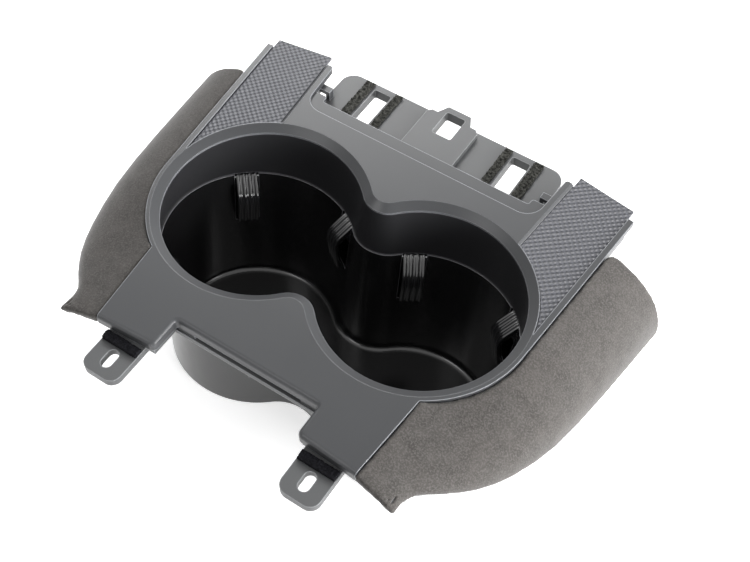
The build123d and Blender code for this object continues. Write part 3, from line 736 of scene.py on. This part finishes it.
def even_mesh(node, voxel):
    """A CAD node's form in even small faces, made from a merged copy."""
    mesh = frame["nodes"][node].data.copy()
    mesh.materials.clear()
    form = bmesh.new()
    form.from_mesh(mesh)
    bmesh.ops.remove_doubles(form, verts=form.verts, dist=MERGE_GAP * MM)
    form.to_mesh(mesh)
    form.free()
    rough = bpy.data.objects.new("suede_form", mesh)
    bpy.context.scene.collection.objects.link(rough)
    remesh = rough.modifiers.new("Even mesh", "REMESH")
    remesh.mode = "VOXEL"
    remesh.voxel_size = voxel
    bpy.context.view_layer.update()
    even = bpy.data.meshes.new_from_object(
        rough.evaluated_get(bpy.context.evaluated_depsgraph_get())
    )
    bpy.data.objects.remove(rough)
    return even


class HOLDER_OT_suede_covers(bpy.types.Operator):
    """Model the suede covers of the side panels, with soft rolled edges"""

    bl_idname = "holder.suede_covers"
    bl_label = "Model suede covers"

    smoothing: bpy.props.IntProperty(
        name="Smoothing", description="Passes that round the rolled edges", default=6, min=0
    )

    def execute(self, context):
        colours = context.scene.holder_colours
        sizes = context.scene.holder_sizes
        cloth = suede("Microfibre suede", colours.suede, colours.suede_raised)
        for side in SIDES:
            node = f"suede_cover_{side}"
            even = even_mesh(node, sizes.suede_voxel)
            form = bmesh.new()
            form.from_mesh(even)
            for _ in range(self.smoothing):
                bmesh.ops.smooth_vert(
                    form,
                    verts=form.verts,
                    factor=0.5,
                    use_axis_x=True,
                    use_axis_y=True,
                    use_axis_z=True,
                )
            form.normal_update()
            for vert in form.verts:
                wave = noise.noise(vert.co / (WAVE_LENGTH * MM)) * sizes.suede_wave
                vert.co += vert.normal * (sizes.suede_lift + wave)
            bmesh.ops.recalc_face_normals(form, faces=form.faces)
            form.to_mesh(even)
            form.free()
            piece = keep_piece(f"{node}_cloth", even, cloth, node)
        return {"FINISHED"}


def soft_strip(size, centre, cuts, fuzz, cell, seed):
    """A strip on the plate's slope with a broken surface of fibres or cells, in the plate's
    millimetres. The longest side gets the most cuts, and the foot stays flat."""
    form = bmesh.new()
    bmesh.ops.create_cube(form, size=1.0)
    bmesh.ops.scale(form, vec=size, verts=form.verts)
    bmesh.ops.translate(form, vec=centre, verts=form.verts)
    step = max(size) / cuts
    for axis in range(3):
        count = max(int(size[axis] / step), 1)
        for cut in range(1, count):
            place = Vector(centre)
            place[axis] += size[axis] * (cut / count - 0.5)
            normal = Vector((0, 0, 0))
            normal[axis] = 1
            bmesh.ops.bisect_plane(
                form,
                geom=form.verts[:] + form.edges[:] + form.faces[:],
                plane_co=place,
                plane_no=normal,
            )
    bmesh.ops.recalc_face_normals(form, faces=form.faces)
    form.normal_update()
    foot = centre[2] - size[2] / 2
    for vert in form.verts:
        spot = vert.co / cell + Vector((seed, 0, 0))
        push = noise.fractal(spot, FUZZ_FALL, FUZZ_STEP, FUZZ_OCTAVES) * fuzz
        if vert.co.z > foot + FOOT_GAP:
            vert.co += vert.normal * push
    bmesh.ops.transform(form, matrix=PLATE, verts=form.verts)
    return finished_mesh(form, "soft_strip")


class HOLDER_OT_felt_strips(bpy.types.Operator):
    """Model the four felt strips on the rear flange"""

    bl_idname = "holder.felt_strips"
    bl_label = "Model felt strips"

    inner_width: length_setting("Inner width", "Across an inner strip", 3.4)
    outer_width: length_setting("Outer width", "Across an outer strip", 4.2)
    length: length_setting("Length", "Along a strip", 22.2)
    inner: length_setting("Inner", "From the middle to the inner strips", 27.6)
    outer: length_setting("Outer", "From the middle to the outer strips", 42.2)

    def execute(self, context):
        # Pressed felt, mottled grey with a rough pile
        felt = fibrous("Pressed felt", context.scene.holder_colours.felt, FELT_TUFT, FELT_DEPTH)
        fuzz = context.scene.holder_sizes.felt_fuzz / MM
        rows = (("inner", self.inner, self.inner_width), ("outer", self.outer, self.outer_width))
        for side, sign in SIDES.items():
            for row, x, width in rows:
                size = (width / MM, self.length / MM, FELT_THICKNESS)
                centre = (sign * x / MM, FELT_MIDDLE, FLANGE_TOP + FELT_RISE)
                mesh = soft_strip(size, centre, FELT_CUTS, fuzz, FELT_CELL, centre[0])
                node = f"felt_strip_{row}_{side}"
                keep_piece(f"{node}_pile", mesh, felt, node)
        return {"FINISHED"}


class HOLDER_OT_foam_pads(bpy.types.Operator):
    """Model the foam pads on the front tabs"""

    bl_idname = "holder.foam_pads"
    bl_label = "Model foam pads"

    def execute(self, context):
        # Black open-cell foam, which hardly reflects anything
        foam = fibrous(
            "Polyurethane foam", context.scene.holder_colours.foam, FOAM_PORE, FOAM_DEPTH
        )
        cell = context.scene.holder_sizes.foam_cell / MM
        for side, sign in SIDES.items():
            centre = (sign * PAD_ACROSS, PAD_ALONG, TAB_TOP + PAD_RISE)
            mesh = soft_strip(PAD_SIZE, centre, PAD_CUTS, PAD_FUZZ, cell, sign * PAD_SEED)
            node = f"foam_pad_{side}"
            piece = keep_piece(f"{node}_cells", mesh, foam, node)
        return {"FINISHED"}


def seen_directly(tree):
    """1 for what the camera, a mirror or glass sees, and 0 for what lights the object."""
    path = add_node(tree, "ShaderNodeLightPath")
    rays = path.outputs["Is Camera Ray"]
    for kind in ("Is Glossy Ray", "Is Transmission Ray"):
        rays = add_node(
            tree, "ShaderNodeMath", {0: rays, 1: path.outputs[kind]}, operation="MAXIMUM"
        ).outputs[0]
    return rays


def lay_floor(base, strength):
    """White paper, which glows a little in what is seen directly but lights nothing."""
    form = bmesh.new()
    bmesh.ops.create_grid(form, x_segments=1, y_segments=1, size=FLOOR_HALF)
    mesh = finished_mesh(form, "floor")
    floor = bpy.data.objects.new("floor", mesh)
    bpy.context.scene.collection.objects.link(floor)
    paper, tree, shader, _ = new_material("Paper, white", base, 0.9)
    shader.inputs["Emission Color"].default_value = WHITE
    glow = add_node(tree, "ShaderNodeMath", {0: seen_directly(tree)}, operation="MULTIPLY")
    glow.inputs[1].default_value = strength
    tree.links.new(glow.outputs[0], shader.inputs["Emission Strength"])
    mesh.materials.append(paper)


def light_surround(front, rear):
    """A surround that lights the object more from behind, and is white where it is seen."""
    world = bpy.data.worlds.new("Studio")
    bpy.context.scene.world = world
    world.use_nodes = True
    tree = world.node_tree
    light = tree.nodes["Background"]
    light.inputs["Color"].default_value = WHITE
    toward = add_node(tree, "ShaderNodeTexCoord").outputs["Generated"]
    parts = add_node(tree, "ShaderNodeSeparateXYZ", {"Vector": toward})
    fall = add_node(
        tree,
        "ShaderNodeMapRange",
        {"Value": parts.outputs["Y"]},
        From_Min=-1.0,
        To_Min=front,
        To_Max=rear,
    )
    tree.links.new(fall.outputs["Result"], light.inputs["Strength"])
    white = add_node(tree, "ShaderNodeBackground", Color=WHITE, Strength=1.0)
    choice = {
        "Fac": seen_directly(tree),
        1: light.outputs["Background"],
        2: white.outputs["Background"],
    }
    shown = add_node(tree, "ShaderNodeMixShader", choice)
    tree.links.new(shown.outputs["Shader"], tree.nodes["World Output"].inputs["Surface"])


def softbox(name, place, size, power):
    """A large area lamp that faces the cups."""
    data = bpy.data.lights.new(name, "AREA")
    data.shape = "RECTANGLE"
    data.size, data.size_y = size
    data.energy = power
    lamp = bpy.data.objects.new(name, data)
    bpy.context.scene.collection.objects.link(lamp)
    lamp.location = place
    toward = Vector(LAMP_AIM) - Vector(place)
    lamp.rotation_euler = toward.to_track_quat("-Z", "Y").to_euler()


def place_camera(setting):
    """The photograph's camera, set up from the top plate's plane."""
    data = bpy.data.cameras.new("camera")
    data.lens = setting.lens
    data.sensor_width = SENSOR_WIDTH
    camera = bpy.data.objects.new("camera", data)
    bpy.context.scene.collection.objects.link(camera)
    bpy.context.scene.camera = camera
    turn = Matrix.Rotation(radians(setting.azimuth), 4, "Z")
    lift = Matrix.Rotation(radians(90 - setting.elevation), 4, "X")
    roll = Matrix.Rotation(radians(setting.roll), 4, "Z")
    stand = Matrix.Translation((setting.aim_x, setting.aim_y, 0))
    back = Matrix.Translation((0, 0, setting.distance))
    camera.matrix_world = SLOPE @ stand @ turn @ lift @ roll @ back


class HOLDER_OT_studio(bpy.types.Operator):
    """Set the floor, the lamps, the white surround and the camera"""

    bl_idname = "holder.studio"
    bl_label = "Set studio"

    floor_glow: strength_setting("Floor glow", "Light that the floor shows on its own", 0.6)
    front_light: strength_setting("Front light", "Strength of the surround in front", 0.15)
    rear_light: strength_setting("Rear light", "Strength of the surround behind", 0.75)

    def execute(self, context):
        scene = context.scene
        scene.view_settings.view_transform = "Standard"
        lay_floor(scene.holder_colours.floor, self.floor_glow)
        light_surround(self.front_light, self.rear_light)
        for lamp in LAMPS:
            softbox(*lamp)
        place_camera(scene.holder_camera)
        return {"FINISHED"}


OPERATORS = (
    HOLDER_OT_mouldings,
    HOLDER_OT_inlays,
    HOLDER_OT_fingers,
    HOLDER_OT_metal_parts,
    HOLDER_OT_suede_covers,
    HOLDER_OT_felt_strips,
    HOLDER_OT_foam_pads,
    HOLDER_OT_studio,
)


class HOLDER_PT_panel(bpy.types.Panel):
    """The holder's pieces and settings"""

    bl_idname = "HOLDER_PT_panel"
    bl_label = "Twin Cup Holder"
    bl_space_type = "VIEW_3D"
    bl_region_type = "UI"
    bl_category = "Cup Holder"

    def draw(self, context):
        for operator in OPERATORS:
            self.layout.operator(operator.bl_idname)
        scene = context.scene
        for group in (scene.holder_colours, scene.holder_sizes, scene.holder_camera):
            for name in group.bl_rna.properties.keys():
                if name not in ("rna_type", "name"):
                    self.layout.prop(group, name)


CLASSES = (HOLDER_PG_colours, HOLDER_PG_sizes, HOLDER_PG_camera, *OPERATORS, HOLDER_PT_panel)


def register():
    for cls in CLASSES:
        bpy.utils.register_class(cls)
    bpy.types.Scene.holder_colours = bpy.props.PointerProperty(type=HOLDER_PG_colours)
    bpy.types.Scene.holder_sizes = bpy.props.PointerProperty(type=HOLDER_PG_sizes)
    bpy.types.Scene.holder_camera = bpy.props.PointerProperty(type=HOLDER_PG_camera)


def unregister():
    del bpy.types.Scene.holder_camera
    del bpy.types.Scene.holder_sizes
    del bpy.types.Scene.holder_colours
    for cls in reversed(CLASSES):
        bpy.utils.unregister_class(cls)


def main():
    register()
    bpy.ops.holder.mouldings()
    bpy.ops.holder.inlays()
    bpy.ops.holder.fingers()
    bpy.ops.holder.metal_parts()
    bpy.ops.holder.suede_covers()
    bpy.ops.holder.felt_strips()
    bpy.ops.holder.foam_pads()
    bpy.ops.holder.studio()


if __name__ == "__main__":
    main()
